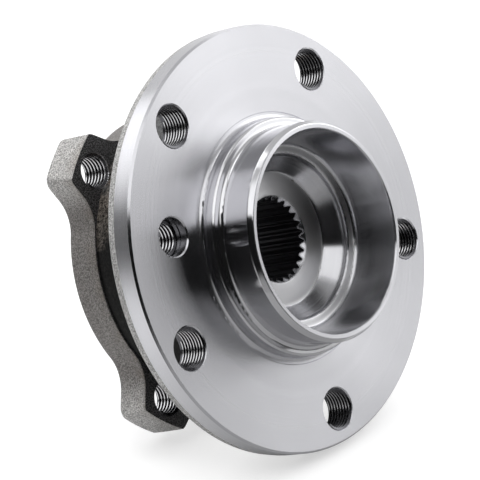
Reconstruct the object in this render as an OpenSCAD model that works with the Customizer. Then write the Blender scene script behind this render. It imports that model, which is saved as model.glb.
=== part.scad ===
// Driven wheel hub bearing: a threaded wheel flange forged in one piece with its
// splined spindle, turning on two rows of angular contact balls in a four-eared outer ring.
// The axis of rotation is Y, the wheel side faces -Y and depths are counted from the
// wheel face towards the knuckle.

/* [Wheel flange] */
// Radius of the wheel flange
flange_r = 71.1; // [69:0.1:74]
// Thickness of the flange at its rim
flange_t = 9.9; // [9:0.1:11.5]
// Part of the rim that is turned, counted from the wheel face
rim_band = 6.8; // [5:0.1:8]
// Depth of the forged rim below the turned band
rim_step = 0.3; // [0.1:0.1:0.6]
// Chamfer round the wheel face
rim_chamfer = 0.7; // [0.3:0.1:1.2]
// How much thicker the flange is at the boss than at its rim
flange_draft = 2.3; // [1:0.1:2.8]
// Radius of the boss behind the flange
boss_r = 44.5; // [43:0.1:46]
// Depth of the ground face that the outboard seal lips run on
seal_face_depth = 14.6; // [14:0.1:15.6]

/* [Wheel bolts] */
// Number of wheel bolt holes
bolt_count = 5; // [4:1:6]
// Distance from the rim in to the circle through the wheel bolt holes
bolt_inset = 11.1; // [10:0.1:14]
// Thread radius of a wheel bolt hole
bolt_r = 7; // [6:0.1:7.2]
// Angle of the first wheel bolt hole from +X
bolt_phase = 125.5; // [110:0.5:140]
// Chamfer at the mouth of a threaded hole
thread_chamfer = 0.4; // [0.2:0.1:0.8]

/* [Disc screw] */
// Radius of the circle that the brake disc screw hole is on
screw_circle_r = 52; // [51.5:0.1:54]
// Thread radius of the disc screw hole
screw_r = 6; // [4:0.1:6.1]
// Counterbore radius of the disc screw hole
screw_bore_r = 6.3; // [6.2:0.1:6.8]
// Counterbore depth of the disc screw hole
screw_bore_depth = 3.3; // [2:0.1:5]

/* [Pilots] */
// Radius of the wheel pilot
wheel_pilot_r = 36.25; // [35.9:0.05:37]
// Height of the wheel pilot's end above the wheel face
pilot_h = 18.9; // [16:0.1:22]
// Lead chamfer of the wheel pilot, along the axis
pilot_lead_h = 1.7; // [1:0.1:2.4]
// Lead chamfer of the wheel pilot, across the axis
pilot_lead_r = 1.1; // [0.6:0.05:1.3]
// Radius of the brake disc pilot
disc_pilot_r = 39.5; // [39:0.1:40.5]
// Height of the brake disc pilot above the wheel face
disc_pilot_h = 5.5; // [4.5:0.1:7]
// Fillet at the foot of the disc pilot
disc_fillet_r = 1.6; // [1:0.1:2]
// Fillet between the disc pilot's shoulder and the wheel pilot
wheel_fillet_r = 1.4; // [0.8:0.1:1.8]

/* [Centre recess] */
// Radius of the recess at its mouth
recess_mouth_r = 33.6; // [32.5:0.1:34.1]
// Radius of the recess above its floor
recess_floor_r = 30.6; // [30:0.1:32]
// Height of the recess floor above the wheel face
recess_floor_h = 3.05; // [2:0.05:4]
// Radius of the nut pocket at its mouth
pocket_mouth_r = 27.3; // [26.5:0.1:28]
// Radius of the nut pocket at the nut seat
pocket_seat_r = 22.5; // [21.5:0.1:24]
// Depth of the nut seat behind the wheel face
nut_seat_depth = 4.4; // [3.5:0.1:5.5]

/* [Splined bore] */
// Number of spline teeth
spline_teeth = 27; // [24:1:28]
// Radius at the tips of the spline teeth
spline_tip_r = 13; // [12.6:0.05:13.2]
// Radius at the roots of the spline teeth
spline_root_r = 14.1; // [13.9:0.05:14.3]
// Radius of the chamfered mouth of the splined bore
spline_mouth_r = 14.6; // [14.5:0.1:15.4]

/* [Rolling elements] */
// Ball diameter
ball_d = 11.9; // [11.1:0.1:12.3]
// Balls in each row
ball_count = 14; // [10:1:14]
// Radius of the circle through the ball centres
pitch_r = 34; // [33.8:0.1:34.4]
// Distance between the two rows of balls
row_spacing = 17.6; // [16.4:0.1:19]
// Running clearance between a ball and its grooves
race_clearance = 0.1; // [0.1:0.01:0.14]
// Clearance of a ball in its cage pocket
pocket_clearance = 0.25; // [0.15:0.01:0.3]
// Depth of the ball groove inside the high shoulder of the inner raceways
inner_shoulder = 2.2; // [1.9:0.1:2.6]
// Height of the land between the outer raceways above the pitch circle
outer_shoulder = 3.2; // [3.1:0.1:4]
// Height of the small lip that keeps the balls in
ball_lip = 0.15; // [0.1:0.01:0.25]

/* [Cages] */
// Wall behind the ball pockets
cage_back = 1.4; // [1:0.1:2]
// How far the cage fingers reach past the ball centres
cage_reach = 2.6; // [2:0.1:3.2]
// How far the cages reach inside the pitch circle
cage_in = 1.5; // [1:0.1:1.8]
// How far the cages reach outside the pitch circle
cage_out = 2.7; // [2:0.1:2.9]

/* [Outer ring] */
// Gap between the seal face and the outer ring
ring_gap = 2; // [1.5:0.1:3]
// Step from the lip of an outer raceway out to the bore that a seal is pressed into
seal_step = 1.1; // [0.8:0.1:1.6]
// Wall of the knuckle pilot round the seal bore
pilot_wall = 2.5; // [2.2:0.1:3]
// Wall of the outer ring's outboard nose round the seal bore
nose_wall = 5.3; // [4:0.1:5.5]
// How much the barrel grows from the nose to the ears
barrel_rise = 1.9; // [1:0.1:2.3]
// Step from the barrel out to the rim between the ears
rim_rise = 0.6; // [0.3:0.1:1]
// Lead chamfer of the knuckle pilot
knuckle_lead = 1; // [0.6:0.1:1.4]

/* [Ears] */
// Depth of the front face of the ears
ear_front_depth = 39.5; // [38.5:0.1:41]
// Thickness of the ears
ear_t = 11.8; // [11:0.1:12.4]
// Distance between the knuckle bolt holes along X
ear_span_x = 71; // [69:0.5:74]
// Distance between the knuckle bolt holes along Z
ear_span_z = 79.4; // [77:0.2:82]
// Thread radius of a knuckle bolt hole
ear_hole_r = 6; // [5:0.1:6.2]
// Radius of the relief that the drill leaves in the barrel in front of an ear
ear_relief_r = 6.4; // [6.3:0.1:7]
// Length of that relief
ear_relief_h = 8; // [4:0.5:12]
// How far an ear reaches beyond the centre of its hole
ear_reach = 9.2; // [8.6:0.1:10.5]
// Draft of the forged outer ends of the ears, from their back to their front face
ear_draft = 1; // [0.2:0.1:1.6]
// Width of an ear at its outer end, from its middle to the flank on the X side
ear_side_w = 8.2; // [7.8:0.1:10]
// Width of an ear at its outer end, from its middle to the flank on the Z side
ear_top_w = 9.6; // [8:0.1:10]
// Spread of an ear's flanks towards the ring
ear_flank_angle = 15; // [8:1:18]
// Rounding of an ear's corners
ear_corner_r = 4.5; // [2:0.1:5]
// Fillet between an ear and the ring
ear_fillet_r = 14; // [8:0.5:15]

/* [Spindle] */
// Height of the seal journal behind the flange above the pitch circle
journal_rise = 2; // [1.6:0.1:2.4]
// Radius of the spindle in the inner ring
spindle_r = 22.5; // [21:0.1:23.5]
// How far the inner ring stands out of the outer ring
inner_ring_out = 1.5; // [1:0.1:2.5]
// Length of the rolled end that holds the inner ring
rolled_h = 4.5; // [3.5:0.1:6]
// Radius of the rolled end
rolled_r = 28.6; // [27.5:0.1:29.5]

/* [Seals] */
// Width of a seal
seal_w = 3.7; // [3.2:0.1:4.4]
// Sheet thickness of the seal cases and the slinger
sheet_t = 0.8; // [0.6:0.05:1]
// Running gap of a seal lip
lip_gap = 0.15; // [0.1:0.01:0.2]
// Gap between a seal and the cage next to it
seal_gap = 0.3; // [0.25:0.01:0.6]
// Width of the magnetic track of the encoder ring
encoder_w = 5.2; // [4.4:0.1:5.4]
// Thickness of the encoder ring
encoder_t = 0.9; // [0.6:0.1:1.2]

/* [Hidden] */
$fn = 96;
OVER = 1;                                   // how far a cut reaches past a face
EDGE = 0.05;                                // the same for a chamfer
SINK = 0.04;                                // how far an ear's fillet ends under the ring's rim
GROOVE_W = 0.6;                             // relief groove at the foot of the disc pilot
GROOVE_T = 0.3;
LIP_T = 0.7;                                // thickness of a rubber lip
BOND_T = 0.6;                               // rubber bonded behind a seal web
ball_r = ball_d / 2;
groove_r = ball_r + race_clearance;
pocket_r = ball_r + pocket_clearance;
seal_side = seal_w + seal_gap + cage_back + pocket_r;  // ring end to ball centres
ring_front_depth = seal_face_depth + ring_gap;
row_1_depth = ring_front_depth + seal_side;
row_2_depth = row_1_depth + row_spacing;
ring_back_depth = row_2_depth + seal_side;
ear_back_depth = ear_front_depth + ear_t;
inner_ring_end = ring_back_depth + inner_ring_out;
inner_ring_front = (row_1_depth + row_2_depth) / 2;
hub_end_depth = inner_ring_end + rolled_h;
high_inner_r = pitch_r - inner_shoulder;
low_inner_r = pitch_r - groove_r + ball_lip;
land_r = pitch_r + outer_shoulder;
low_outer_r = pitch_r + groove_r - ball_lip;
cage_in_r = pitch_r - cage_in;
cage_out_r = pitch_r + cage_out;
journal_r = pitch_r + journal_rise;
seal_bore_r = low_outer_r + seal_step;
knuckle_pilot_r = seal_bore_r + pilot_wall;
nose_r = seal_bore_r + nose_wall;
barrel_r = nose_r + barrel_rise;
waist_r = barrel_r + rim_rise;
sleeve_r = high_inner_r + sheet_t;          // outside of the slinger's sleeve
case_in_r = seal_bore_r - sheet_t;
ear_angle = atan2(ear_span_z, ear_span_x);
ear_circle_r = norm([ear_span_x, ear_span_z]) / 2;
ear_tip_r = ear_circle_r + ear_reach;
ear_end_r = ear_tip_r + 3 * EDGE;           // drawn too long for the draft to cut
bolt_circle_r = flange_r - bolt_inset;
screw_angle = bolt_phase + 180 / bolt_count;

// Turns a piece drawn round Z with depths below zero into the part's own frame
module on_axle() rotate([90, 0, 0]) children();

// A turned piece from a half profile of radius and depth
module turned() on_axle() rotate_extrude() mirror([0, 1]) children();

// Straight hole along the axle at a polar place, between two depths
module hole(circle_r, angle, r, from, to)
    on_axle() rotate(angle) translate([circle_r, 0, -to]) cylinder(r = r, h = to - from);

// Chamfered mouth of a hole; side is 1 where it opens towards the wheel, -1 towards the knuckle
module mouth(circle_r, angle, r, chamfer, depth, side = 1)
    on_axle() rotate(angle) translate([circle_r, 0, -depth]) mirror([0, 0, side > 0 ? 0 : 1])
        translate([0, 0, -chamfer]) cylinder(r1 = r, r2 = r + chamfer + EDGE, h = chamfer + EDGE);

// Tangent point, centre and tangent point of the arc that rounds corner p between a and b
function arc_at(a, p, b, r) =
    let (u = (a - p) / norm(a - p), v = (b - p) / norm(b - p), half = acos(u * v) / 2)
    [p + u * r / tan(half), p + (u + v) / norm(u + v) * r / sin(half), p + v * r / tan(half)];

function flat(p) = [p[0], p[1]];
function radius(p) = len(p) > 2 ? p[2] : 0;

// The part of that arc's disc that faces the corner
module sector(arc, corner, r) intersection() {
    translate(arc[1]) circle(r);
    polygon([arc[0], corner, arc[2], arc[1]]);
}

// Closed outline of [radius, depth] points, given with the material on the left in the
// drawing of radius to the right and depth upwards; a third value rounds that corner
module rounded(points) {
    n = len(points);
    corners = [for (i = [0:n - 1]) flat(points[i])];
    before = [for (i = [0:n - 1]) corners[(i + n - 1) % n]];
    after = [for (i = [0:n - 1]) corners[(i + 1) % n]];
    turn = [for (i = [0:n - 1]) cross(corners[i] - before[i], after[i] - corners[i])];
    arcs = [for (i = [0:n - 1]) radius(points[i]) > 0
        ? arc_at(before[i], corners[i], after[i], radius(points[i])) : []];
    difference() {
        union() {
            polygon([for (i = [0:n - 1]) each len(arcs[i]) > 0 ? [arcs[i][0], arcs[i][2]] : [corners[i]]]);
            for (i = [0:n - 1]) if (len(arcs[i]) > 0 && turn[i] > 0)
                sector(arcs[i], corners[i], radius(points[i]));
        }
        for (i = [0:n - 1]) if (len(arcs[i]) > 0 && turn[i] < 0)
            sector(arcs[i], corners[i], radius(points[i]));
    }
}

// Rectangle of a half profile between two radii and two depths
module band(r1, r2, from, to) translate([r1, from]) square([r2 - r1, to - from]);

// Section of the ball groove that both raceways of a row are cut with
module groove_at(depth) translate([pitch_r, depth]) circle(groove_r);

// Hub

// Flange, boss, seal journal and the outside of both pilots
module hub_outside() {
    flange_back = flange_t + flange_draft;
    journal_end = ring_front_depth + seal_w - sheet_t;
    foot_r = disc_pilot_r + disc_fillet_r;
    rounded([
        [0, -pilot_h], [wheel_pilot_r - pilot_lead_r, -pilot_h, 0.5],
        [wheel_pilot_r, -pilot_h + pilot_lead_h],
        [wheel_pilot_r, -disc_pilot_h, wheel_fillet_r],
        [disc_pilot_r - 0.6, -disc_pilot_h], [disc_pilot_r, -disc_pilot_h + 0.6],
        [disc_pilot_r, GROOVE_T, disc_fillet_r],
        [foot_r + GROOVE_W, GROOVE_T], [foot_r + GROOVE_W + GROOVE_T, 0],
        [flange_r - rim_chamfer, 0], [flange_r, rim_chamfer],
        [flange_r, rim_band], [flange_r - rim_step, rim_band],
        [flange_r - rim_step, flange_t, rim_chamfer],
        [boss_r + seal_face_depth - flange_back, flange_back, 3],
        [boss_r, seal_face_depth], [journal_r, seal_face_depth, 1],
        [journal_r, journal_end], [0, journal_end]]);
}

// Spindle with the outboard inner raceway, the inner ring's seat and the rolled end
module spindle_outside() {
    difference() {
        union() {
            band(0, high_inner_r, 0, row_1_depth);
            band(0, low_inner_r, 0, inner_ring_front);
        }
        groove_at(row_1_depth);
    }
    band(0, spindle_r, 0, hub_end_depth - OVER);
    rounded([[0, inner_ring_end], [rolled_r, inner_ring_end],
        [rolled_r, hub_end_depth, rolled_h * 0.7], [0, hub_end_depth]]);
}

// Open space of the recess, the nut pocket and the mouth of the splines
module hub_inside() {
    mouth_depth = nut_seat_depth + spline_mouth_r - spline_tip_r + 0.1;
    rounded([
        [0, -pilot_h - OVER], [recess_mouth_r + 0.2, -pilot_h - OVER],
        [recess_mouth_r + 0.2, -pilot_h], [recess_mouth_r - 0.1, -pilot_h + 0.4],
        [recess_floor_r, -recess_floor_h, 1.5],
        [pocket_mouth_r, -recess_floor_h, 0.9], [pocket_mouth_r - 0.1, -1],
        [pocket_seat_r, nut_seat_depth, 1.5], [0, nut_seat_depth]]);
    polygon([[0, 0], [spline_mouth_r, nut_seat_depth - OVER / 2],
        [spline_mouth_r, nut_seat_depth], [spline_tip_r - 0.1, mouth_depth], [0, mouth_depth]]);
}

// Cross section of the space inside the spline teeth, which have straight flanks and
// bevelled tips
module spline_space() {
    pitch = 360 / spline_teeth;
    gap = [[spline_tip_r - 0.3, 0.46], [spline_tip_r + 0.15, 0.33], [spline_root_r, 0.07]];
    upper = [for (p = gap) p[0] * [cos(pitch * p[1]), sin(pitch * p[1])]];
    circle(spline_tip_r);
    for (i = [0:spline_teeth - 1]) rotate((i + 0.5) * pitch)
        polygon(concat(upper, [for (j = [2:-1:0]) [upper[j].x, -upper[j].y]]));
}

module hub() color("silver") difference() {
    turned() difference() {
        union() {
            hub_outside();
            spindle_outside();
        }
        hub_inside();
        translate([0, hub_end_depth]) polygon([[0, OVER], [spline_mouth_r + 1.5 + OVER, OVER],
            [spline_tip_r - 0.1, spline_tip_r - spline_mouth_r - 1.6],
            [0, spline_tip_r - spline_mouth_r - 1.6]]);
    }
    on_axle() translate([0, 0, -hub_end_depth - OVER])
        linear_extrude(hub_end_depth - nut_seat_depth + OVER) spline_space();
    for (i = [0:bolt_count - 1]) {
        angle = bolt_phase - i * 360 / bolt_count;
        hole(bolt_circle_r, angle, bolt_r, -OVER, flange_t + flange_draft + OVER);
        mouth(bolt_circle_r, angle, bolt_r, thread_chamfer, 0);
    }
    hole(screw_circle_r, screw_angle, screw_r, -OVER, flange_t + flange_draft + OVER);
    hole(screw_circle_r, screw_angle, screw_bore_r, -OVER, screw_bore_depth);
    mouth(screw_circle_r, screw_angle, screw_bore_r, thread_chamfer, 0);
}

// Rings

module inner_ring() color("lightsteelblue") turned() difference() {
    union() {
        band(spindle_r, low_inner_r, inner_ring_front, row_2_depth);
        band(spindle_r, high_inner_r, row_2_depth, inner_ring_end);
    }
    groove_at(row_2_depth);
}

// Point at distance reach from the axis and at distance off from the flank of an ear,
// outside the ear where off is positive
function flank_centre(reach, off, half_w) =
    let (t = tan(ear_flank_angle),
         a = half_w + ear_end_r * t + off / cos(ear_flank_angle),
         u = (a * t + sqrt(a * a * t * t - (1 + t * t) * (a * a - reach * reach))) / (1 + t * t))
    [u, a - u * t];

// Corners of one flank of an ear on +X: where its fillet leaves the ring, the fillet's centre,
// both ends of the flank and where the rounding of its corner meets the outer end
function flank_points(fillet_c, corner_c) =
    let (out = [sin(ear_flank_angle), cos(ear_flank_angle)])
    [fillet_c * (1 - ear_fillet_r / norm(fillet_c)), fillet_c, fillet_c - ear_fillet_r * out,
        corner_c + ear_corner_r * out, corner_c * ear_end_r / (ear_end_r - ear_corner_r)];

// Outline of an ear on +X, from the axis outwards; its top flank is on the +Y side
module ear_outline() {
    widths = [ear_top_w, ear_side_w];
    fillets = [for (w = widths) flank_centre(waist_r + ear_fillet_r - SINK, ear_fillet_r, w)];
    ends = [for (w = widths) flank_centre(ear_end_r - ear_corner_r, -ear_corner_r, w)];
    top = flank_points(fillets[0], ends[0]);
    side = [for (p = flank_points(fillets[1], ends[1])) [p.x, -p.y]];
    difference() {
        union() {
            polygon(concat([[0, 0]], top, [for (i = [4:-1:0]) side[i]]));
            intersection() {
                circle(ear_end_r);
                polygon([[0, 0], top[4] * 1.2, side[4] * 1.2]);
            }
            translate(ends[0]) circle(ear_corner_r);
            translate([ends[1].x, -ends[1].y]) circle(ear_corner_r);
        }
        translate(fillets[0]) circle(ear_fillet_r);
        translate([fillets[1].x, -fillets[1].y]) circle(ear_fillet_r);
    }
}

// Half profile of the ring without its ears
module ring_profile() difference() {
    rounded([
        [land_r, ring_front_depth], [nose_r - 1, ring_front_depth],
        [nose_r, ring_front_depth + 1], [barrel_r, ear_front_depth - 3],
        [barrel_r, ear_front_depth + OVER], [barrel_r - OVER, ear_front_depth + OVER],
        [barrel_r - OVER, ear_back_depth - OVER], [knuckle_pilot_r, ear_back_depth - OVER],
        [knuckle_pilot_r, ring_back_depth - knuckle_lead],
        [knuckle_pilot_r - knuckle_lead, ring_back_depth], [land_r, ring_back_depth]]);
    groove_at(row_1_depth);
    groove_at(row_2_depth);
    band(land_r - OVER, low_outer_r, ring_front_depth - OVER, row_1_depth);
    band(land_r - OVER, low_outer_r, row_2_depth, ring_back_depth + OVER);
    band(land_r - OVER, seal_bore_r, ring_front_depth - OVER, ring_front_depth + seal_w);
    band(land_r - OVER, seal_bore_r, ring_back_depth - seal_w, ring_back_depth + OVER);
}

// Angles of the ears
ears = [ear_angle, 180 - ear_angle, 180 + ear_angle, -ear_angle];

// Flange of the outer ring: a round plate with the four ears, each the mirror image of the next
module ear_plate() difference() {
    union() {
        circle(waist_r);
        for (x = [0, 1], z = [0, 1]) mirror([x, 0]) mirror([0, z]) rotate(ear_angle) ear_outline();
    }
    circle(knuckle_pilot_r - OVER);
}

// The cone that the forging's draft leaves on the outer ends of the ears
module draft_cone() cylinder(r1 = ear_tip_r, r2 = ear_tip_r - ear_draft, h = ear_t);

module outer_ring() color("dimgray") difference() {
    union() {
        turned() ring_profile();
        on_axle() translate([0, 0, -ear_back_depth]) intersection() {
            linear_extrude(ear_t) ear_plate();
            draft_cone();
        }
    }
    for (a = ears) {
        hole(ear_circle_r, a, ear_hole_r, ear_front_depth - OVER, ear_back_depth + OVER);
        hole(ear_circle_r, a, ear_relief_r, ear_front_depth - ear_relief_h, ear_front_depth);
        mouth(ear_circle_r, a, ear_hole_r, ear_relief_r - ear_hole_r - 2 * EDGE, ear_front_depth);
        mouth(ear_circle_r, a, ear_hole_r, thread_chamfer, ear_back_depth, -1);
    }
}

// Balls and cages

// Places a ball pocket of a row
module at_ball(depth, i)
    on_axle() rotate(90 + (i - 0.5) * 360 / ball_count) translate([pitch_r, 0, -depth]) children();

module ball(depth, i) color("gainsboro") at_ball(depth, i) sphere(ball_r);

// Snap cage whose closed side is in the direction side along the depth
module cage(depth, side) color("tan") difference() {
    back = depth + side * (pocket_r + cage_back);
    front = depth - side * cage_reach;
    turned() band(cage_in_r, cage_out_r, min(back, front), max(back, front));
    for (i = [1:ball_count]) at_ball(depth, i) sphere(pocket_r);
}

// Seals

module outboard_seal_case() color("slategray") turned() {
    web = ring_front_depth + seal_w - sheet_t;
    band(case_in_r, seal_bore_r, ring_front_depth, ring_front_depth + seal_w);
    band(journal_r + 1.6, seal_bore_r - sheet_t / 2, web, ring_front_depth + seal_w);
}

module outboard_seal_lips() color([0.12, 0.12, 0.13]) turned() {
    web = ring_front_depth + seal_w - sheet_t;
    tip = seal_face_depth + lip_gap;
    lip_r = journal_r + lip_gap;
    polygon([
        [lip_r + LIP_T, web], [lip_r, web - 1.2], [lip_r + 0.3, web - 1.35],
        [lip_r + 1.8, web - BOND_T], [case_in_r - 1.4, web - BOND_T],
        [case_in_r - 0.6, tip], [case_in_r - 0.2, tip], [case_in_r - 0.5, web - BOND_T],
        [case_in_r, web - BOND_T], [case_in_r, web]]);
}

module inboard_seal_case() color("slategray") turned() {
    web = ring_back_depth - seal_w;
    band(case_in_r, seal_bore_r, web, ring_back_depth);
    band(sleeve_r + 1.4, seal_bore_r - sheet_t / 2, web, web + sheet_t);
}

module inboard_seal_lips() color([0.12, 0.12, 0.13]) turned() {
    web = ring_back_depth - seal_w + sheet_t;
    tip = ring_back_depth - sheet_t - lip_gap;
    lip_r = sleeve_r + lip_gap;
    polygon([
        [lip_r + LIP_T, web], [lip_r, web + 1.1], [lip_r + 0.3, web + 1.25],
        [lip_r + 1.8, web + BOND_T], [lip_r + 2.8, web + BOND_T],
        [lip_r + 3.8, tip], [lip_r + 4.2, tip], [lip_r + 3.8, web + BOND_T],
        [case_in_r, web + BOND_T], [case_in_r, web]]);
}

module slinger() color("lightgray") turned() {
    flange = ring_back_depth - sheet_t;
    band(high_inner_r, sleeve_r, ring_back_depth - seal_w + 2 * sheet_t, ring_back_depth);
    band(high_inner_r + sheet_t / 2, case_in_r - seal_gap, flange, ring_back_depth);
}

module encoder_ring() color([0.2, 0.19, 0.18]) turned()
    band(case_in_r - seal_gap - 0.2 - encoder_w, case_in_r - seal_gap - 0.2,
        ring_back_depth, ring_back_depth + encoder_t);

hub();
inner_ring();
outer_ring();
cage(row_1_depth, -1);  // outboard_cage
cage(row_2_depth, 1);  // inboard_cage
outboard_seal_case();
outboard_seal_lips();
inboard_seal_case();
inboard_seal_lips();
slinger();
encoder_ring();
for (i = [1:ball_count]) ball(row_1_depth, i);
for (i = [1:ball_count]) ball(row_2_depth, i);
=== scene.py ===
# A driven wheel hub bearing on a white studio table, resting on the edge of its wheel flange
# and on two ears. The hub is turned steel, bright as from the lathe; the outer ring keeps its
# forged skin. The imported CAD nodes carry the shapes, and threads and finishes are added here.
import math

import bpy
from mathutils import Matrix, Vector


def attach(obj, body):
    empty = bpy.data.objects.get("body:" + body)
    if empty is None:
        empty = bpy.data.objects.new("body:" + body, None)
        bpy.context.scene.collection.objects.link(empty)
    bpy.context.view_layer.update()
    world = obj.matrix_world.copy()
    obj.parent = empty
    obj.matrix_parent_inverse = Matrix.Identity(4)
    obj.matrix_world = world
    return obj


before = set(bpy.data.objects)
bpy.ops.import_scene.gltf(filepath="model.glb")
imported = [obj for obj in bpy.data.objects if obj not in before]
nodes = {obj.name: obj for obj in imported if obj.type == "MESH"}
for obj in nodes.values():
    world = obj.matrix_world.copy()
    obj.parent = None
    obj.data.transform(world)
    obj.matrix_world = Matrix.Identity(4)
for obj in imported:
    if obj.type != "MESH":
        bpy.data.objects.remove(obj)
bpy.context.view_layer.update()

# Camera
# The photograph's own camera, solved from its circles: a long lens 86 cm away, so the two
# ends of the hub keep nearly the same scale. It is turned about its axis by 17.4 degrees.
lens = bpy.data.cameras.new("photograph_lens")
lens.lens = 194.49
lens.sensor_width = 36
lens.clip_start = 0.05
lens.clip_end = 20
camera = bpy.data.objects.new("photograph_camera", lens)
right = Vector((0.6304265, -0.7175715, -0.29606346))
up = Vector((0.31122715, -0.11575014, 0.94326008))
back = right.cross(up)
camera.matrix_world = Matrix.Translation((-0.615764, -0.574343, 0.131867)) @ Matrix(
    (right, up, back)).transposed().to_4x4()
bpy.context.scene.collection.objects.link(camera)
bpy.context.scene.camera = camera


# Wheel hub: flange, pilots and spindle
# One forging of bearing steel. The wheel side is turned all over in a single clamping; the
# rear part of the rim and the flange's back stay as forged, and the spindle is ground.
MM = 0.001


def linear(hex_colour):
    """Linear RGBA of an sRGB hex colour."""
    parts = [int(hex_colour[i:i + 2], 16) / 255 for i in (1, 3, 5)]
    return tuple(c / 12.92 if c < 0.04045 else ((c + 0.055) / 1.055) ** 2.4 for c in parts) + (1.0,)


def add(tree, kind, inputs=(), **settings):
    """Adds a node with its settings; inputs maps a socket to a number, a node or its output."""
    node = tree.nodes.new(kind)
    for name, value in settings.items():
        setattr(node, name, value)
    for socket, value in dict(inputs).items():
        if isinstance(value, bpy.types.Node):
            value = value.outputs[0]
        if isinstance(value, bpy.types.NodeSocket):
            tree.links.new(value, node.inputs[socket])
        else:
            node.inputs[socket].default_value = value
    return node


def new_material(name):
    """An empty node material, with its tree and output."""
    material = bpy.data.materials.new(name)
    material.use_nodes = True
    material.node_tree.nodes.clear()
    return material, material.node_tree, add(material.node_tree, "ShaderNodeOutputMaterial")


def in_millimetres(tree):
    """Place in the part's own frame, in millimetres."""
    place = add(tree, "ShaderNodeTexCoord").outputs["Object"]
    return add(tree, "ShaderNodeVectorMath", {0: place, "Scale": 1000.0}, operation="SCALE")


def around_axle(tree):
    """Radius from the axle and depth along it, in millimetres, and the direction of turning."""
    split = add(tree, "ShaderNodeSeparateXYZ", {0: in_millimetres(tree)})
    flat = add(tree, "ShaderNodeCombineXYZ", {"X": split.outputs["X"], "Z": split.outputs["Z"]})
    radius = add(tree, "ShaderNodeVectorMath", {0: flat}, operation="LENGTH").outputs["Value"]
    turning = add(tree, "ShaderNodeVectorMath", {0: (0, 1, 0), 1: flat}, operation="CROSS_PRODUCT")
    turning = add(tree, "ShaderNodeVectorTransform", {0: turning},
                  vector_type="VECTOR", convert_from="OBJECT", convert_to="WORLD")
    turning = add(tree, "ShaderNodeVectorMath", {0: turning}, operation="NORMALIZE")
    return add(tree, "ShaderNodeCombineXYZ", {"X": radius, "Y": split.outputs["Y"]}), turning


def turned(name, dark, light, smooth, rough, streak, line, corner=0.0):
    """Steel finished by turning or grinding: its tool lines run round the axle, so a highlight
    stays sharp round the hub and is drawn out across the lines, further for a higher streak. The
    roughness varies from smooth to rough over the lines, line is their spacing in mm, and corner
    the radius in mm that the tool's nose leaves in and on the corners."""
    material, tree, output = new_material(name)
    rings, turning = around_axle(tree)
    tool_lines = add(tree, "ShaderNodeTexNoise", {
        "Vector": rings, "Scale": 1 / line, "Detail": 3.0, "Roughness": 0.6})
    tone_rings = add(tree, "ShaderNodeTexNoise", {"Vector": rings, "Scale": 0.22, "Detail": 2.0})
    smudges = add(tree, "ShaderNodeTexNoise", {
        "Vector": in_millimetres(tree), "Scale": 0.05, "Detail": 4.0})
    tone = add(tree, "ShaderNodeMath", {0: tone_rings, 1: smudges}, operation="ADD")
    tone = add(tree, "ShaderNodeMapRange", {"Value": tone, "From Min": 0.7, "From Max": 1.3})
    colour = add(tree, "ShaderNodeMix", {
        "Factor": tone, 6: linear(dark), 7: linear(light)}, data_type="RGBA")
    gloss = add(tree, "ShaderNodeMapRange", {
        "Value": tool_lines, "From Min": 0.3, "From Max": 0.7, "To Min": smooth, "To Max": rough})
    marks = add(tree, "ShaderNodeBump", {"Height": tool_lines, "Strength": 0.1, "Distance": 0.00004})
    if corner:
        nose = add(tree, "ShaderNodeBevel", {"Radius": corner * MM}, samples=6)
        tree.links.new(nose.outputs[0], marks.inputs["Normal"])
    steel = add(tree, "ShaderNodeBsdfPrincipled", {
        "Base Color": colour.outputs[2], "Metallic": 1.0, "Roughness": gloss, "Normal": marks,
        "Anisotropic": streak, "Anisotropic Rotation": 0.25, "Tangent": turning})
    tree.links.new(steel.outputs[0], output.inputs[0])
    return material


# Feed marks are 0.1 mm apart on the flange and finer on the pilots; drawn at 0.6 and 0.4 mm they
# just show at this size. The recess is bored with a longer tool, which leaves it duller, and its
# floor and the face that seats the nut are cut at a coarser feed.
turned_steel = turned("turned_bearing_steel", "#CDCDD1", "#D3D3D7",
                      smooth=0.24, rough=0.28, streak=0.97, line=0.6)
fine_turned = turned("fine_turned_pilot", "#CDCDD0", "#D5D5D8",
                     smooth=0.09, rough=0.12, streak=0.9, line=0.4, corner=0.6)
bored = turned("bored_recess", "#B8B8BC", "#C3C3C6",
               smooth=0.15, rough=0.2, streak=0.95, line=0.5, corner=1.2)
coarse_turned = turned("coarse_turned_seat", "#CBCBCD", "#D6D6D8",
                       smooth=0.38, rough=0.44, streak=0.7, line=0.8, corner=1.2)

# Shot-blasted forging: a grainy pale grey skin of 0.5 mm pits, each with its own glint.
forged_steel, tree, output = new_material("shot_blasted_forging")
mm = in_millimetres(tree)
pits = add(tree, "ShaderNodeTexNoise", {"Vector": mm, "Scale": 2.0, "Detail": 3.0, "Roughness": 0.7})
patches = add(tree, "ShaderNodeTexNoise", {"Vector": mm, "Scale": 0.15, "Detail": 3.0})
grain = add(tree, "ShaderNodeMapRange", {"Value": pits, "From Min": 0.4, "From Max": 0.6})
skin = add(tree, "ShaderNodeMix", {
    "Factor": grain, 6: linear("#9A9998"), 7: linear("#F6F5F4")}, data_type="RGBA")
shade = add(tree, "ShaderNodeMapRange", {
    "Value": patches, "From Min": 0.3, "From Max": 0.7, "To Min": 0.8})
skin = add(tree, "ShaderNodeMix", {
    "Factor": 1.0, 6: skin.outputs[2], 7: shade}, data_type="RGBA", blend_type="MULTIPLY")
marks = add(tree, "ShaderNodeBump", {"Height": pits, "Strength": 0.9, "Distance": 0.0003})
steel = add(tree, "ShaderNodeBsdfPrincipled", {
    "Base Color": skin.outputs[2], "Metallic": 0.4, "Roughness": 0.45, "Normal": marks})
tree.links.new(steel.outputs[0], output.inputs[0])

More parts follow.
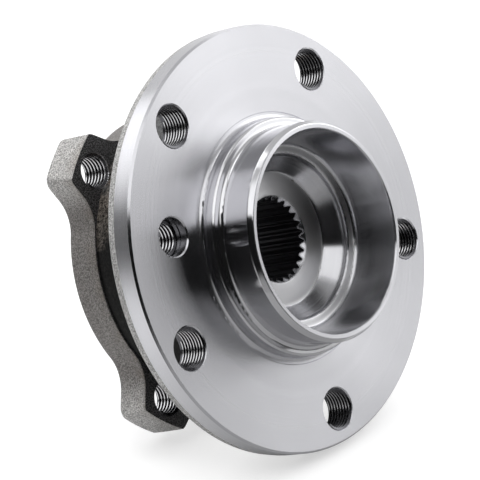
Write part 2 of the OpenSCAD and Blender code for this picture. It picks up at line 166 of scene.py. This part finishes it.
# Thread crests: bright where the drill and the tap cut them, with 0.6 mm tears in no one
# direction.
thread_crest, tree, output = new_material("tapped_thread_crest")
tears = add(tree, "ShaderNodeTexNoise", {"Vector": in_millimetres(tree), "Scale": 1.6, "Detail": 4.0})
gloss = add(tree, "ShaderNodeMapRange", {
    "Value": tears, "From Min": 0.3, "From Max": 0.7, "To Min": 0.16, "To Max": 0.3})
colour = add(tree, "ShaderNodeMix", {
    "Factor": tears, 6: linear("#B4B4B6"), 7: linear("#D8D8DA")}, data_type="RGBA")
marks = add(tree, "ShaderNodeBump", {"Height": tears, "Strength": 0.25, "Distance": 0.0001})
steel = add(tree, "ShaderNodeBsdfPrincipled", {
    "Base Color": colour.outputs[2], "Metallic": 1.0, "Roughness": gloss, "Normal": marks})
tree.links.new(steel.outputs[0], output.inputs[0])

# Thread flanks and hole walls: the same steel under a film of dark cutting oil, which gathers
# in patches 1 mm across, and darkened further as painted shade for the deep hollows of the holes.
oiled_and_shaded_flank, tree, output = new_material("oiled_flank_painted_shade")
film = add(tree, "ShaderNodeTexNoise", {"Vector": in_millimetres(tree), "Scale": 0.9, "Detail": 4.0})
gloss = add(tree, "ShaderNodeMapRange", {
    "Value": film, "From Min": 0.3, "From Max": 0.7, "To Min": 0.18, "To Max": 0.32})
colour = add(tree, "ShaderNodeMix", {
    "Factor": film, 6: linear("#49494C"), 7: linear("#66666A")}, data_type="RGBA")
steel = add(tree, "ShaderNodeBsdfPrincipled", {
    "Base Color": colour.outputs[2], "Metallic": 1.0, "Roughness": gloss})
tree.links.new(steel.outputs[0], output.inputs[0])

# Broached steel: the long spline flanks keep the broach's oil, and are dark and half dull.
broached_steel, tree, output = new_material("broached_steel")
mm = in_millimetres(tree)
# Broach lines run with the axle, drawn 0.5 mm apart.
pulled = add(tree, "ShaderNodeMapping", {"Vector": mm, "Scale": (1.0, 0.04, 1.0)})
lines = add(tree, "ShaderNodeTexNoise", {"Vector": pulled, "Scale": 2.0, "Detail": 3.0})
colour = add(tree, "ShaderNodeMix", {
    "Factor": lines, 6: linear("#3A3A3C"), 7: linear("#6C6C70")}, data_type="RGBA")
marks = add(tree, "ShaderNodeBump", {"Height": lines, "Strength": 0.3, "Distance": 0.0001})
steel = add(tree, "ShaderNodeBsdfPrincipled", {
    "Base Color": colour.outputs[2], "Metallic": 1.0, "Roughness": 0.38, "Normal": marks})
tree.links.new(steel.outputs[0], output.inputs[0])

# Raceways, seats and seal journals are hardened and ground to a near mirror. The wheel's
# scratches are far too fine to show and are drawn 0.35 mm apart.
ground_steel = turned("ground_bearing_steel", "#C9C9CC", "#D4D4D6",
                      smooth=0.08, rough=0.13, streak=0.6, line=0.35)


def paint(name, choose, *materials):
    """Gives each face of a CAD node one of the materials; choose gets its place and its normal."""
    mesh = nodes[name].data
    mesh.materials.clear()
    for material in materials:
        mesh.materials.append(material)
    for face in mesh.polygons:
        face.material_index = choose(face.center / MM, face.normal)


def on_wall(point, normal, holes, radius):
    """True within 0.4 mm of the wall of one of the holes, given as circle radius and angle."""
    if abs(normal.y) > 0.5:
        return False
    for r, a in holes:
        x, z = r * math.cos(math.radians(a)), r * math.sin(math.radians(a))
        if abs(math.hypot(point.x - x, point.z - z) - radius) < 0.4:
            return True
    return False


# Holes as circle radius in mm and angle from the part's X towards its Z, in degrees.
bolt_holes = [(60, 125.5 - 72 * i) for i in range(5)]
disc_screw_hole = [(52, 161.5)]
bolt_hole_radius = 7.0
disc_screw_hole_radius = 6.15
# Where one finish of the hub ends and the next begins, in mm: radii from the axle, and depths
# behind the wheel face, which is at 0.
spline_radius, spline_front, spline_end = 14.5, 5, 62
rim_radius, forged_depth, forged_radius = 68, 7, 44.6
bore_radius, spindle_radius, spindle_front = 15, 39, 14.5
recess_radius, recess_front, recess_end, recess_floor = 33.8, -18.5, 6, -4
pilot_radius, pilot_front, pilot_end = 39.7, -18.7, 5


def hub_finish(point, normal):
    """0 turned, 1 forged, 2 hole walls, 3 broached, 4 ground, 5 pilots, 6 recess, 7 its floor
    and nut seat."""
    radius = math.hypot(point.x, point.z)
    if on_wall(point, normal, bolt_holes, bolt_hole_radius):
        return 2
    if on_wall(point, normal, disc_screw_hole, disc_screw_hole_radius):
        return 2
    if radius < spline_radius and spline_front < point.y < spline_end and abs(normal.y) < 0.5:
        return 3
    if radius > forged_radius and point.y > forged_depth and normal.y > -0.5:
        if radius > rim_radius or normal.y > 0.5:
            return 1
    if point.y > spindle_front and bore_radius < radius < spindle_radius:
        return 4
    if radius < recess_radius and recess_front < point.y < recess_end:
        return 7 if point.y > recess_floor and normal.y < -0.9 else 6
    return 5 if radius < pilot_radius and pilot_front < point.y < pilot_end else 0


paint("hub", hub_finish, turned_steel, forged_steel, oiled_and_shaded_flank, broached_steel, ground_steel,
      fine_turned, bored, coarse_turned)

# Outer ring
# A second forging, left rough on its ears and barrel. Only the ears' faces are milled, and
# the raceways and the pilot that goes into the knuckle are turned and ground.

# The shot-blasted skin again, with rust-brown handling marks towards the wheel side, some 8 mm
# across.
ring_forging, tree, output = new_material("shot_blasted_ring")
mm = in_millimetres(tree)
pits = add(tree, "ShaderNodeTexNoise", {"Vector": mm, "Scale": 2.0, "Detail": 3.0, "Roughness": 0.7})
stains = add(tree, "ShaderNodeTexNoise", {"Vector": mm, "Scale": 0.12, "Detail": 4.0, "Roughness": 0.6})
grain = add(tree, "ShaderNodeMapRange", {"Value": pits, "From Min": 0.4, "From Max": 0.6})
skin = add(tree, "ShaderNodeMix", {
    "Factor": grain, 6: linear("#8E8C8A"), 7: linear("#F6F4F2")}, data_type="RGBA")
reach = add(tree, "ShaderNodeSeparateXYZ", {0: around_axle(tree)[0]})
# Painted shade: the skin darkens into the hollow waist between the ears, where it faces the table.
waist_shade = add(tree, "ShaderNodeMapRange", {
    "Value": reach.outputs["X"], "From Min": 62.0, "From Max": 51.0, "To Max": 0.8})
skin = add(tree, "ShaderNodeMix", {
    "Factor": waist_shade, 6: skin.outputs[2], 7: linear("#8C8784")}, data_type="RGBA", blend_type="MULTIPLY")
front = add(tree, "ShaderNodeMapRange", {
    "Value": reach.outputs["Y"], "From Min": 45.0, "From Max": 39.5})
stained = add(tree, "ShaderNodeMapRange", {"Value": stains, "From Min": 0.42, "From Max": 0.62})
rust = add(tree, "ShaderNodeMath", {0: front, 1: stained}, operation="MULTIPLY")
rust = add(tree, "ShaderNodeMath", {0: rust, 1: 0.4}, operation="MULTIPLY")
skin = add(tree, "ShaderNodeMix", {
    "Factor": rust, 6: skin.outputs[2], 7: linear("#85786A")}, data_type="RGBA")
marks = add(tree, "ShaderNodeBump", {"Height": pits, "Strength": 0.9, "Distance": 0.0003})
steel = add(tree, "ShaderNodeBsdfPrincipled", {
    "Base Color": skin.outputs[2], "Metallic": 0.4, "Roughness": 0.45, "Normal": marks})
tree.links.new(steel.outputs[0], output.inputs[0])
# The die leaves every corner rounded.
die_corner = add(tree, "ShaderNodeBevel", {"Radius": 2.0 * MM}, samples=6)
tree.links.new(die_corner.outputs[0], marks.inputs["Normal"])

# Dark phosphate on the milled faces of the ears: thin, nearly black, and grainy. Its crystals
# are far finer than the 0.45 mm that they are drawn at.
phosphate, tree, output = new_material("phosphated_ear_face")
grains = add(tree, "ShaderNodeTexNoise", {
    "Vector": in_millimetres(tree), "Scale": 2.2, "Detail": 2.0, "Roughness": 0.7})
speckle = add(tree, "ShaderNodeMapRange", {"Value": grains, "From Min": 0.42, "From Max": 0.64})
skin = add(tree, "ShaderNodeMix", {
    "Factor": speckle, 6: linear("#0E0D0E"), 7: linear("#757475")}, data_type="RGBA")
marks = add(tree, "ShaderNodeBump", {"Height": grains, "Strength": 0.4, "Distance": 0.0001})
steel = add(tree, "ShaderNodeBsdfPrincipled", {
    "Base Color": skin.outputs[2], "Metallic": 0.5, "Roughness": 0.6, "Normal": marks})
tree.links.new(steel.outputs[0], output.inputs[0])

# Forging scale on the barrel: brown-black and rough, with rust in its 0.7 mm pits. Towards the
# wheel and at the top it turns grey, and its lower half is painted black as shade, which falls
# there in the gap behind the flange.
barrel_scale, tree, output = new_material("forging_scale")
mm = in_millimetres(tree)
pits = add(tree, "ShaderNodeTexNoise", {"Vector": mm, "Scale": 1.4, "Detail": 4.0, "Roughness": 0.7})
spots = add(tree, "ShaderNodeMapRange", {"Value": pits, "From Min": 0.4, "From Max": 0.66})
# The edges of these zones wander by some 8 mm.
wander = add(tree, "ShaderNodeTexNoise", {"Vector": mm, "Scale": 0.09, "Detail": 4.0, "Roughness": 0.65})
wander = add(tree, "ShaderNodeMapRange", {
    "Value": wander, "From Min": 0.3, "From Max": 0.7, "To Min": -8.0, "To Max": 8.0})
moved = add(tree, "ShaderNodeVectorMath", {0: mm, 1: wander}, operation="ADD")
moved = add(tree, "ShaderNodeSeparateXYZ", {0: moved})
grey_front = add(tree, "ShaderNodeMapRange", {
    "Value": moved.outputs["Y"], "From Min": 30.0, "From Max": 22.0})
grey_top = add(tree, "ShaderNodeMapRange", {
    "Value": moved.outputs["Z"], "From Min": 33.0, "From Max": 39.0})
greyed = add(tree, "ShaderNodeMath", {0: grey_front, 1: grey_top}, operation="MAXIMUM")
# Painted shade: the barrel turns black from 35 mm above the axle down to 15 mm.
painted_shade_below = add(tree, "ShaderNodeMapRange", {
    "Value": moved.outputs["Z"], "From Min": 35.0, "From Max": 15.0})
zones = []
for pit, scale in (("#211D1A", "#D8CCC0"), ("#3E3E3F", "#8A8A8B"), ("#080808", "#262524")):
    zones.append(add(tree, "ShaderNodeMix", {
        "Factor": spots, 6: linear(pit), 7: linear(scale)}, data_type="RGBA").outputs[2])
rusty, grey, black = zones
skin = add(tree, "ShaderNodeMix", {"Factor": greyed, 6: rusty, 7: grey}, data_type="RGBA")
skin = add(tree, "ShaderNodeMix", {"Factor": painted_shade_below, 6: skin.outputs[2], 7: black}, data_type="RGBA")
marks = add(tree, "ShaderNodeBump", {"Height": pits, "Strength": 0.8, "Distance": 0.0003})
steel = add(tree, "ShaderNodeBsdfPrincipled", {
    "Base Color": skin.outputs[2], "Metallic": 0.3, "Roughness": 0.6,
    "Specular IOR Level": 0.25, "Normal": marks})
tree.links.new(steel.outputs[0], output.inputs[0])

# How far the ears' holes are to the side of the axle, and above or below it, in mm.
ear_aside, ear_above = 35.5, 39.7
ear_holes = [(math.hypot(ear_aside, ear_above), math.degrees(math.atan2(z * ear_above, x * ear_aside)))
             for x in (-1, 1) for z in (-1, 1)]
ear_hole_radius = 6.0
# Where one finish of the ring ends and the next begins, in mm as for the hub.
nose_depth = 16.7
race_radius = 43.8
ear_front, ear_back = 39.5, 51.2
milled_radius, forged_ear_radius = 47, 48.5


def ring_finish(point, normal):
    """0 turned, 1 forged skin, 2 phosphated face, 3 scale on the barrel, 4 hole walls, 5 ground."""
    radius = math.hypot(point.x, point.z)
    if point.y > ear_front - 0.1 and on_wall(point, normal, ear_holes, ear_hole_radius):
        return 4
    if point.y < nose_depth:
        return 0
    if radius < race_radius:
        return 5
    if point.y < ear_front + 0.2 and normal.y < -0.9 and radius > milled_radius:
        return 2
    if point.y < ear_front + 0.1:
        return 3
    return 1 if point.y < ear_back and radius > forged_ear_radius and abs(normal.y) < 0.3 else 0


paint("outer_ring", ring_finish, turned_steel, ring_forging, phosphate, barrel_scale, oiled_and_shaded_flank,
      ground_steel)

# Tapped threads
# Every bolt hole is tapped, M14 in the flange and M12 in the ears and the disc screw hole. A
# tap cuts one long helical groove, so the ridge that is left is one helix with a flat crest.
tapping = bpy.data.node_groups.new("tapped_ridge", "GeometryNodeTree")
tapping.interface.new_socket("Geometry", in_out="INPUT", socket_type="NodeSocketGeometry")
for name in ("Thread radius", "Pitch", "Length"):
    tapping.interface.new_socket(name, in_out="INPUT", socket_type="NodeSocketFloat")
tapping.interface.new_socket("Finish", in_out="INPUT", socket_type="NodeSocketMaterial")
tapping.interface.new_socket("Geometry", in_out="OUTPUT", socket_type="NodeSocketGeometry")
given = add(tapping, "NodeGroupInput")
turns = add(tapping, "ShaderNodeMath", {
    0: given.outputs["Length"], 1: given.outputs["Pitch"]}, operation="DIVIDE")
helix = add(tapping, "GeometryNodeCurveSpiral", {
    "Resolution": 72, "Rotations": turns, "Start Radius": given.outputs["Thread radius"],
    "End Radius": given.outputs["Thread radius"], "Height": given.outputs["Length"]})
upright = add(tapping, "GeometryNodeSetCurveNormal", {"Curve": helix})
upright.mode = "Z_UP"
# At both ends the ridge rises out of the wall and runs back into it within 0.6 of a turn.
share = add(tapping, "GeometryNodeSplineParameter")
turned_by = add(tapping, "ShaderNodeMath", {0: share, 1: turns}, operation="MULTIPLY")
left = add(tapping, "ShaderNodeMath", {0: turns, 1: turned_by}, operation="SUBTRACT")
nearer = add(tapping, "ShaderNodeMath", {0: turned_by, 1: left}, operation="MINIMUM")
rise = add(tapping, "ShaderNodeMapRange", {"Value": nearer, "From Max": 0.6, "To Min": 0.1})
tapered = add(tapping, "GeometryNodeSetCurveRadius", {"Curve": upright, "Radius": rise})
# Corners of the ridge's section, as shares of the pitch: inwards from the wall, along the hole.
section = add(tapping, "GeometryNodeCurvePrimitiveQuadrilateral", mode="POINTS")
for i, (inwards, along) in enumerate(((-0.06, -0.44), (0.54, -0.15), (0.54, 0.15), (-0.06, 0.44))):
    corner = add(tapping, "ShaderNodeVectorMath", {
        0: (inwards, along, 0), "Scale": given.outputs["Pitch"]}, operation="SCALE")
    tapping.links.new(corner.outputs[0], section.inputs["Point %d" % (i + 1)])
ridge = add(tapping, "GeometryNodeCurveToMesh", {
    "Curve": tapered, "Profile Curve": section, "Fill Caps": True})
# The helix is laid along the hole, with its start at the mouth, and turned by 150 degrees.
laid = add(tapping, "GeometryNodeTransform", {
    "Geometry": ridge, "Rotation": (-math.pi / 2, math.radians(150), 0)})
placed = add(tapping, "GeometryNodeInstanceOnPoints", {
    "Points": given.outputs["Geometry"], "Instance": laid})
real = add(tapping, "GeometryNodeRealizeInstances", {"Geometry": placed})
coated = add(tapping, "GeometryNodeSetMaterial", {
    "Geometry": real, "Material": given.outputs["Finish"]})
add(tapping, "NodeGroupOutput", {"Geometry": coated})


def tap(name, body, holes, mouth, radius, pitch, length):
    """Cuts the threads of a set of holes, from mouth inwards; sizes in millimetres."""
    mesh = bpy.data.meshes.new(name)
    mesh.from_pydata([
        (r * math.cos(math.radians(a)) * MM, mouth * MM, r * math.sin(math.radians(a)) * MM)
        for r, a in holes], [], [])
    piece = bpy.data.objects.new(name, mesh)
    bpy.context.scene.collection.objects.link(piece)
    modifier = piece.modifiers.new("tapping", "NODES")
    modifier.node_group = tapping
    values = {"Thread radius": radius * MM, "Pitch": pitch * MM, "Length": length * MM,
              "Finish": thread_crest}
    for item in tapping.interface.items_tree:
        if item.in_out == "INPUT" and item.name in values:
            modifier[item.identifier] = values[item.name]
    seen = piece.evaluated_get(bpy.context.evaluated_depsgraph_get())
    piece.data = bpy.data.meshes.new_from_object(seen)
    piece.modifiers.clear()
    # The crests stay bright, and the flanks carry the oil film and the painted shade.
    piece.data.materials.clear()
    for finish in (thread_crest, oiled_and_shaded_flank):
        piece.data.materials.append(finish)
    for face in piece.data.polygons:
        face.material_index = 1 if abs(face.normal.y) > 0.4 else 0
    piece.data.shade_smooth()
    piece.data.set_sharp_from_angle(angle=math.radians(25))
    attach(piece, body)


tap("wheel_bolt_threads", "spindle", bolt_holes,
    mouth=0.35, radius=bolt_hole_radius, pitch=1.25, length=9.3)
tap("disc_screw_thread", "spindle", disc_screw_hole,
    mouth=5.0, radius=6.0, pitch=1.5, length=6.6)
tap("knuckle_bolt_threads", "housing", ear_holes,
    mouth=39.9, radius=ear_hole_radius, pitch=1.5, length=10.9)


# Inner ring and balls
# Hardened bearing steel all over. The raceways are ground and honed, and the balls are lapped
# between plates until they mirror everything around them.
def everywhere(point, normal):
    """The first material, for a piece that has only one."""
    return 0


paint("inner_ring", everywhere, ground_steel)

# Lapped steel: no tool lines are left, only a faint haze in clouds 1.2 mm across.
lapped_steel, tree, output = new_material("lapped_ball_steel")
haze = add(tree, "ShaderNodeTexNoise", {"Vector": in_millimetres(tree), "Scale": 0.8, "Detail": 5.0})
gloss = add(tree, "ShaderNodeMapRange", {
    "Value": haze, "From Min": 0.3, "From Max": 0.7, "To Min": 0.03, "To Max": 0.08})
colour = add(tree, "ShaderNodeMix", {
    "Factor": haze, 6: linear("#D2D2D5"), 7: linear("#DCDCDE")}, data_type="RGBA")
steel = add(tree, "ShaderNodeBsdfPrincipled", {
    "Base Color": colour.outputs[2], "Metallic": 1.0, "Roughness": gloss})
tree.links.new(steel.outputs[0], output.inputs[0])
for row in ("outboard", "inboard"):
    for i in range(14):
        paint("%s_ball_%d" % (row, i + 1), everywhere, lapped_steel)

# Cages
# Moulded in one shot of nylon with glass fibre, and snapped over the balls. The natural resin
# is cream and half dull, clouded every 3 mm, and the 0.3 mm fibres roughen it a little.
nylon, tree, output = new_material("glass_filled_nylon")
mm = in_millimetres(tree)
cloud = add(tree, "ShaderNodeTexNoise", {"Vector": mm, "Scale": 0.3, "Detail": 3.0})
fibres = add(tree, "ShaderNodeTexNoise", {"Vector": mm, "Scale": 3.5, "Detail": 2.0, "Distortion": 0.6})
colour = add(tree, "ShaderNodeMix", {
    "Factor": cloud, 6: linear("#BCAF90"), 7: linear("#D3C8AC")}, data_type="RGBA")
marks = add(tree, "ShaderNodeBump", {"Height": fibres, "Strength": 0.2, "Distance": 0.0001})
resin = add(tree, "ShaderNodeBsdfPrincipled", {
    "Base Color": colour.outputs[2], "Roughness": 0.42, "IOR": 1.53, "Subsurface Weight": 0.1,
    "Subsurface Scale": 0.001, "Normal": marks})
tree.links.new(resin.outputs[0], output.inputs[0])
paint("outboard_cage", everywhere, nylon)
paint("inboard_cage", everywhere, nylon)

# Seals, slinger and encoder ring
# Each seal is a case pressed from steel sheet with nitrile rubber bonded to it. The inboard
# one runs on a stainless slinger, which carries a ring of rubber filled with magnet powder.

# Pressed sheet: half bright, with faint rings 0.8 mm apart where the punch drew it into shape.
sheet_steel, tree, output = new_material("pressed_steel_sheet")
rings, turning = around_axle(tree)
drawn = add(tree, "ShaderNodeTexNoise", {"Vector": rings, "Scale": 1.2, "Detail": 3.0})
gloss = add(tree, "ShaderNodeMapRange", {
    "Value": drawn, "From Min": 0.3, "From Max": 0.7, "To Min": 0.24, "To Max": 0.36})
colour = add(tree, "ShaderNodeMix", {
    "Factor": drawn, 6: linear("#A3A4A6"), 7: linear("#BDBEC0")}, data_type="RGBA")
steel = add(tree, "ShaderNodeBsdfPrincipled", {
    "Base Color": colour.outputs[2], "Metallic": 1.0, "Roughness": gloss,
    "Anisotropic": 0.4, "Anisotropic Rotation": 0.25, "Tangent": turning})
tree.links.new(steel.outputs[0], output.inputs[0])

# Nitrile rubber: nearly black and half dull, with a slight bloom of 0.5 mm specks.
nitrile, tree, output = new_material("nitrile_rubber")
bloom = add(tree, "ShaderNodeTexNoise", {"Vector": in_millimetres(tree), "Scale": 1.8, "Detail": 4.0})
colour = add(tree, "ShaderNodeMix", {
    "Factor": bloom, 6: linear("#121213"), 7: linear("#2A2A2B")}, data_type="RGBA")
marks = add(tree, "ShaderNodeBump", {"Height": bloom, "Strength": 0.2, "Distance": 0.0001})
rubber = add(tree, "ShaderNodeBsdfPrincipled", {
    "Base Color": colour.outputs[2], "Roughness": 0.55, "IOR": 1.52, "Normal": marks})
tree.links.new(rubber.outputs[0], output.inputs[0])

# Rubber filled with ferrite powder: brown-black and even. The powder is too fine to show and is
# drawn at 0.25 mm.
magnet_rubber, tree, output = new_material("ferrite_filled_rubber")
powder = add(tree, "ShaderNodeTexNoise", {"Vector": in_millimetres(tree), "Scale": 4.0, "Detail": 3.0})
colour = add(tree, "ShaderNodeMix", {
    "Factor": powder, 6: linear("#1F1B18"), 7: linear("#3A342F")}, data_type="RGBA")
marks = add(tree, "ShaderNodeBump", {"Height": powder, "Strength": 0.15, "Distance": 0.00005})
rubber = add(tree, "ShaderNodeBsdfPrincipled", {
    "Base Color": colour.outputs[2], "Roughness": 0.45, "IOR": 1.6, "Normal": marks})
tree.links.new(rubber.outputs[0], output.inputs[0])

for side in ("outboard", "inboard"):
    paint(side + "_seal_case", everywhere, sheet_steel)
    paint(side + "_seal_lips", everywhere, nitrile)
paint("slinger", everywhere, sheet_steel)
paint("encoder_ring", everywhere, magnet_rubber)

# Table
# A round white table top. The part leans back on its rim and two ears, so the table is tilted
# against the part's own axes. It reaches further behind the part than in front of it.
table_up = Vector((0, -0.386, 0.922)).normalized()
table_right = right - right.dot(table_up) * table_up
table_right.normalize()
table_front = table_right.cross(table_up)
# The lowest point of the flange's rim, which touches the table. The other sizes are in metres.
touch = Vector((0, 9.9, -71.1)) * MM
table_radius, set_back, set_left, corners = 0.46, 0.26, 0.1, 72
middle = table_up * touch.dot(table_up) - table_front * set_back - table_right * set_left
table_mesh = bpy.data.meshes.new("table")
border = []
for i in range(corners):
    a = math.radians(360 / corners * i)
    border.append(tuple(middle + table_radius * (math.cos(a) * table_right - math.sin(a) * table_front)))
table_mesh.from_pydata(border, [], [list(range(corners))])
table = bpy.data.objects.new("table", table_mesh)
bpy.context.scene.collection.objects.link(table)
white_table, tree, output = new_material("white_laminate")
path = add(tree, "ShaderNodeLightPath")
facing = add(tree, "ShaderNodeNewGeometry")
laminate = add(tree, "ShaderNodeBsdfDiffuse", {"Color": linear("#BDBDBD")})
mirrored = add(tree, "ShaderNodeMath", {
    0: path.outputs["Is Glossy Ray"], 1: path.outputs["Is Transmission Ray"]}, operation="ADD")
# Painted light: the table's glow, as the steel mirrors it, is lit at the back and at both sides, and
# dark at its near right part, which the lamps miss.
place = add(tree, "ShaderNodeTexCoord").outputs["Object"]
# Two borders of that part: the way across each one, out of the light, and half the width over
# which the light fades, in metres.
painted_lamplight = []
for way, fade in ((table_front + 1.2 * table_right, 0.06), (table_front + 0.2 * table_right, 0.02)):
    ahead = add(tree, "ShaderNodeVectorMath", {
        0: place, 1: tuple(way.normalized())}, operation="DOT_PRODUCT").outputs["Value"]
    painted_lamplight.append(add(tree, "ShaderNodeMapRange", {
        "Value": ahead, "From Min": fade, "From Max": -fade}, interpolation_type="SMOOTHSTEP"))
painted_lamplight = add(tree, "ShaderNodeMath", {0: painted_lamplight[0], 1: painted_lamplight[1]}, operation="MAXIMUM")
mirrored = add(tree, "ShaderNodeMath", {0: mirrored, 1: painted_lamplight}, operation="MULTIPLY")
# Painted shadow: close under the part, within 14 mm, the table's glow dims as in its shadow.
open_sky = add(tree, "ShaderNodeAmbientOcclusion", {"Distance": 14 * MM}).outputs["AO"]
mirrored = add(tree, "ShaderNodeMath", {0: mirrored, 1: open_sky}, operation="MULTIPLY")
# How strongly the table glows: mirrored in the steel, and for the camera in and out of shadow.
mirror_glow, shadow_glow, open_glow = 0.7, 0.5, 0.75
lift = add(tree, "ShaderNodeMath", {0: mirrored, 1: mirror_glow}, operation="MULTIPLY")
whiten = add(tree, "ShaderNodeMapRange", {
    "Value": open_sky, "To Min": shadow_glow, "To Max": open_glow})
lift = add(tree, "ShaderNodeMix", {
    "Factor": path.outputs["Is Camera Ray"], 2: lift, 3: whiten}, data_type="FLOAT")
glow = add(tree, "ShaderNodeEmission", {"Strength": lift})
top = add(tree, "ShaderNodeAddShader", {0: laminate, 1: glow})
# Seen from below, the table is clear.
clear = add(tree, "ShaderNodeBsdfTransparent")
cover = add(tree, "ShaderNodeMixShader", {0: facing.outputs["Backfacing"], 1: top, 2: clear})
tree.links.new(cover.outputs[0], output.inputs[0])
table_mesh.materials.append(white_table)

# Studio
# A grey room with soft boxes at the left, at the right and overhead, a white paper backdrop
# behind the part, and black cloth round the camera, which gives the steel its contrast.
room = bpy.data.worlds.new("studio")
room.use_nodes = True
bpy.context.scene.world = room
tree = room.node_tree
tree.nodes.clear()
looking = add(tree, "ShaderNodeTexCoord").outputs["Generated"]


def towards(axis):
    """How far a ray looks along an axis, from -1 to 1."""
    return add(tree, "ShaderNodeVectorMath", {
        0: looking, 1: tuple(axis)}, operation="DOT_PRODUCT").outputs["Value"]


azimuth = add(tree, "ShaderNodeMath", {
    0: towards(-table_right), 1: towards(table_front)}, operation="ARCTAN2")
azimuth = add(tree, "ShaderNodeMath", {0: azimuth}, operation="DEGREES")
elevation = add(tree, "ShaderNodeMath", {0: towards(table_up)}, operation="ARCSINE")
elevation = add(tree, "ShaderNodeMath", {0: elevation}, operation="DEGREES")
behind = add(tree, "ShaderNodeMath", {0: azimuth}, operation="ABSOLUTE")
# Azimuth 0 is the camera's side and 90 the picture's left, in degrees. Each panel: azimuth from
# and to, elevation from and to, brightness, and the softness of its edges each way. A later one
# hangs in front of an earlier one, and dark_corner is the gap beside the right box's foot.
room_grey = 0.65
panels = {
    "right_box": (-150, -91, 4, 48, 1.45, 14, 24),
    "right_box_middle": (-148, -112, 2, 46, 2.5, 10, 16),
    "right_box_foot": (-150, -99, -16, 3, 1.4, 4, 5),
    "right_box_strip": (-110, -100, -6, 36, 1.75, 5, 8),
    "dark_corner": (-98, -80, -16, 4, 0.02, 4, 5),
    "right_overhead": (-120, -62, 50, 80, 0.45, 8, 8),
    "black_cloth": (-87, 95, -16, 41, 0.01, 4, 3),
    "below_the_table": (-200, 200, -90, -9, 0.38, 5, 12),
    "left_box": (97, 140, 6, 46, 1.8, 3, 4),
    "left_overhead": (98, 160, 46, 78, 2.2, 10, 6),
    "top_box": (-58, 54, 42, 80, 1.45, 4, 3),
}
glow = None
for a0, a1, e0, e1, brightness, soft_a, soft_e in panels.values():
    inside = None
    for angle, start, end, soft in ((azimuth, a0, a1, soft_a), (elevation, e0, e1, soft_e)):
        for edge, rising in ((start, 1), (end, 0)):
            step = add(tree, "ShaderNodeMapRange", {
                "Value": angle, "From Min": edge - soft / 2, "From Max": edge + soft / 2,
                "To Min": 1.0 - rising, "To Max": float(rising)}, interpolation_type="SMOOTHSTEP")
            if inside:
                step = add(tree, "ShaderNodeMath", {0: inside, 1: step}, operation="MULTIPLY")
            inside = step
    glow = add(tree, "ShaderNodeMix", {
        "Factor": inside, 2: glow if glow else room_grey, 3: brightness}, data_type="FLOAT")
path = add(tree, "ShaderNodeLightPath")
mirrored = add(tree, "ShaderNodeMath", {
    0: path.outputs["Is Glossy Ray"], 1: path.outputs["Is Transmission Ray"]}, operation="ADD")
# The camera sees plain white behind the part. Mirrored in the steel, the paper hangs from 151
# degrees each way round to the back, up to an elevation of 19.
at_back = add(tree, "ShaderNodeMapRange", {
    "Value": behind, "From Min": 146.0, "From Max": 156.0}, interpolation_type="SMOOTHSTEP")
low = add(tree, "ShaderNodeMapRange", {
    "Value": elevation, "From Min": 30.0, "From Max": 8.0}, interpolation_type="SMOOTHSTEP")
paper = add(tree, "ShaderNodeMath", {0: at_back, 1: low}, operation="MULTIPLY")
mirrored = add(tree, "ShaderNodeMath", {0: mirrored, 1: paper}, operation="MULTIPLY")
white = add(tree, "ShaderNodeMath", {
    0: path.outputs["Is Camera Ray"], 1: mirrored}, operation="ADD", use_clamp=True)
shown = add(tree, "ShaderNodeMix", {"Factor": white, 2: glow, 3: 1.0}, data_type="FLOAT")
backdrop = add(tree, "ShaderNodeBackground", {"Color": (1, 1, 1, 1), "Strength": shown})
add(tree, "ShaderNodeOutputWorld", {"Surface": backdrop})

bpy.context.scene.view_settings.view_transform = "Standard"
